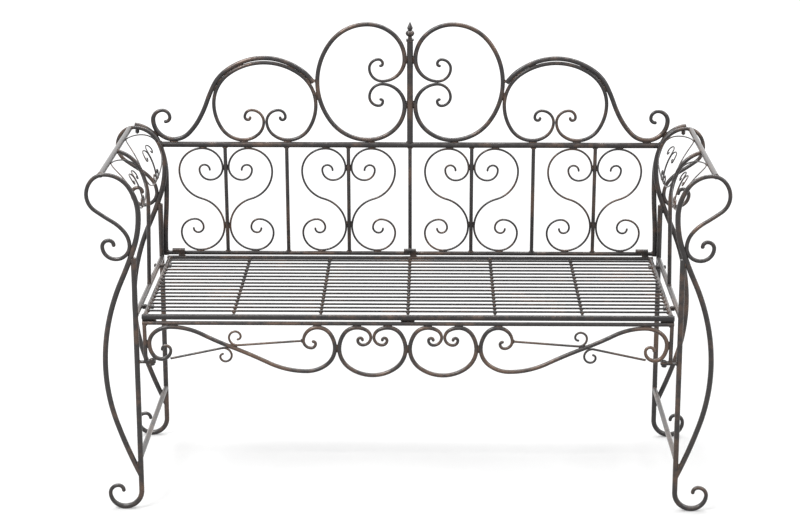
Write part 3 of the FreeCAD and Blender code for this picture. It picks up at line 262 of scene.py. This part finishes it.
def layBead(mesh, points, number):
    # a lumpy ring through the crossing points, which lie all round the middle
    middle = points.mean(0)
    axes = np.linalg.eigh(np.cov((points - middle).T))[1]
    flat = (points - middle) @ axes
    angle = np.arctan2(flat[:, 1], flat[:, 2])
    order = np.argsort(angle)
    angle = angle[order]
    flat = flat[order]
    turns = np.linspace(-math.pi, math.pi, bead["steps"], endpoint=False)
    ring = np.stack([np.interp(turns, angle, flat[:, axis], period=2 * math.pi) for axis in range(3)], axis=1)
    ring = (np.roll(ring, 1, 0) + ring * 2 + np.roll(ring, -1, 0)) / 4
    ring = ring @ axes.T + middle
    loops = []
    for step in range(bead["steps"]):
        here = Vector(ring[step])
        along = Vector(ring[(step + 1) % bead["steps"]] - ring[step - 1]).normalized()
        out = (here - Vector(middle)).normalized()
        side = along.cross(out).normalized()
        lump = noise.noise(here * bead["lumpScale"] + Vector((number * bead["lumpStride"], bead["seed"], 0)))
        thick = bead["thick"] * (1 + bead["lumpAmount"] * lump)
        loops.append([mesh.verts.new(here + thick * (math.cos(turn) * out + math.sin(turn) * side))
                      for turn in (2 * math.pi * corner / bead["sides"] for corner in range(bead["sides"]))])
    for step in range(bead["steps"]):
        ahead = loops[(step + 1) % bead["steps"]]
        for corner in range(bead["sides"]):
            following = (corner + 1) % bead["sides"]
            mesh.faces.new((loops[step][corner], loops[step][following], ahead[following], ahead[corner]))


def makeWelds():
    names = sorted(name for name in nodes if name not in unwelded)
    close = {name: swollenSkin(nodes[name], bead["touch"]) for name in names}
    wide = {name: swollenSkin(nodes[name], bead["throat"]) for name in names}
    boxes = {name: (close[name][0].min((0, 1)), close[name][0].max((0, 1))) for name in names}
    mesh = bmesh.new()
    count = 0
    for number, first in enumerate(names):
        for second in names[number + 1:]:
            if np.any(boxes[first][0] > boxes[second][1]) or np.any(boxes[second][0] > boxes[first][1]):
                continue
            spots = contactSpots(crossingPoints(close[first], close[second]))
            crossing = crossingPoints(wide[first], wide[second]) if spots else None
            for spot in spots:
                near = crossing[np.linalg.norm(crossing - spot, axis=1) < bead["reach"]]
                if len(near) > bead["fewest"]:
                    layBead(mesh, near, count)
                    count += 1
    bmesh.ops.recalc_face_normals(mesh, faces=mesh.faces[:])
    data = bpy.data.meshes.new("weldBeads")
    mesh.to_mesh(data)
    mesh.free()
    for face in data.polygons:
        face.use_smooth = True
    piece = bpy.data.objects.new("weldBeads", data)
    scene.collection.objects.link(piece)
    data.materials.append(weldPaint)
    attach(piece, "root")
    print("weld beads:", count)


makeWelds()

# floor, light and camera
studio = {"floorHalf": 30, "floorTone": 0.78, "floorGlow": 0.22, "distantGlow": 0.52, "floorNear": 0.6,
          "floorFar": 4.5, "worldFill": 0.55, "target": (0, 0, 0.5)}
lamps = [
    {"name": "keyLamp", "place": (-2.0, -1.8, 3.4), "size": (1.6, 1.4), "power": 80},
    {"name": "fillLamp", "place": (2.8, -1.4, 2.2), "size": (0.5, 1.2), "power": 20},
    {"name": "topLamp", "place": (0, 0.6, 3.2), "size": (3.4, 0.5), "power": 50},
]


def makeFloor():
    data = bpy.data.meshes.new("paleFloor")
    half = studio["floorHalf"]
    corners = [(-half, -half, 0), (half, -half, 0), (half, half, 0), (-half, half, 0)]
    data.from_pydata(corners, [], [(0, 1, 2, 3)])
    floor = bpy.data.objects.new("paleFloor", data)
    scene.collection.objects.link(floor)
    material, start = emptyMaterial("paleFloor")
    seen = seenRays(start)
    plain = start.make("ShaderNodeBsdfDiffuse", None, {"Color": (*[studio["floorTone"]] * 3, 1)})
    place = start.make("ShaderNodeTexCoord", out="Object")
    away = start.make("ShaderNodeVectorMath", {"operation": "LENGTH"}, {0: place}, out="Value")
    distant = softStep(start, away, studio["floorNear"], studio["floorFar"])
    strength = seen * (studio["floorGlow"] + distant * studio["distantGlow"])
    glow = start.make("ShaderNodeEmission", None, {"Color": (1, 1, 1, 1), "Strength": strength})
    both = start.make("ShaderNodeAddShader", None, {0: plain, 1: glow})
    start.make("ShaderNodeOutputMaterial", None, {"Surface": both})
    data.materials.append(material)


def makeWorld():
    world = bpy.data.worlds.new("whiteStudio")
    world.use_nodes = True
    world.node_tree.nodes.clear()
    start = Signal(world.node_tree)
    seen = seenRays(start)
    strength = studio["worldFill"] + seen * (1 - studio["worldFill"])
    sky = start.make("ShaderNodeBackground", None, {"Color": (1, 1, 1, 1), "Strength": strength})
    start.make("ShaderNodeOutputWorld", None, {"Surface": sky})
    scene.world = world


def softLamp(lamp):
    data = bpy.data.lights.new(lamp["name"], "AREA")
    data.shape = "RECTANGLE"
    data.size, data.size_y = lamp["size"]
    data.energy = lamp["power"]
    source = bpy.data.objects.new(lamp["name"], data)
    source.location = lamp["place"]
    aim = Vector(studio["target"]) - Vector(lamp["place"])
    source.rotation_euler = aim.to_track_quat("-Z", "Y").to_euler()
    scene.collection.objects.link(source)


def makeCamera():
    # the photograph's eye: found from the bench's own points in the picture
    eye = {"place": (0.048, -3.952, 1.768), "pitch": 17.931, "yaw": -0.61, "focalPixels": 1889.9,
           "middlePixel": 411.65, "widthPixels": 800, "sensor": 36}
    data = bpy.data.cameras.new("photoEye")
    data.sensor_width = eye["sensor"]
    data.lens = eye["focalPixels"] / eye["widthPixels"] * eye["sensor"]
    data.shift_x = 0.5 - eye["middlePixel"] / eye["widthPixels"]
    camera = bpy.data.objects.new("photoEye", data)
    camera.location = eye["place"]
    camera.rotation_euler = (math.radians(90 - eye["pitch"]), 0, math.radians(-eye["yaw"]))
    scene.collection.objects.link(camera)
    scene.camera = camera


makeFloor()
makeWorld()
for lamp in lamps:
    softLamp(lamp)
makeCamera()
print("studio ready")
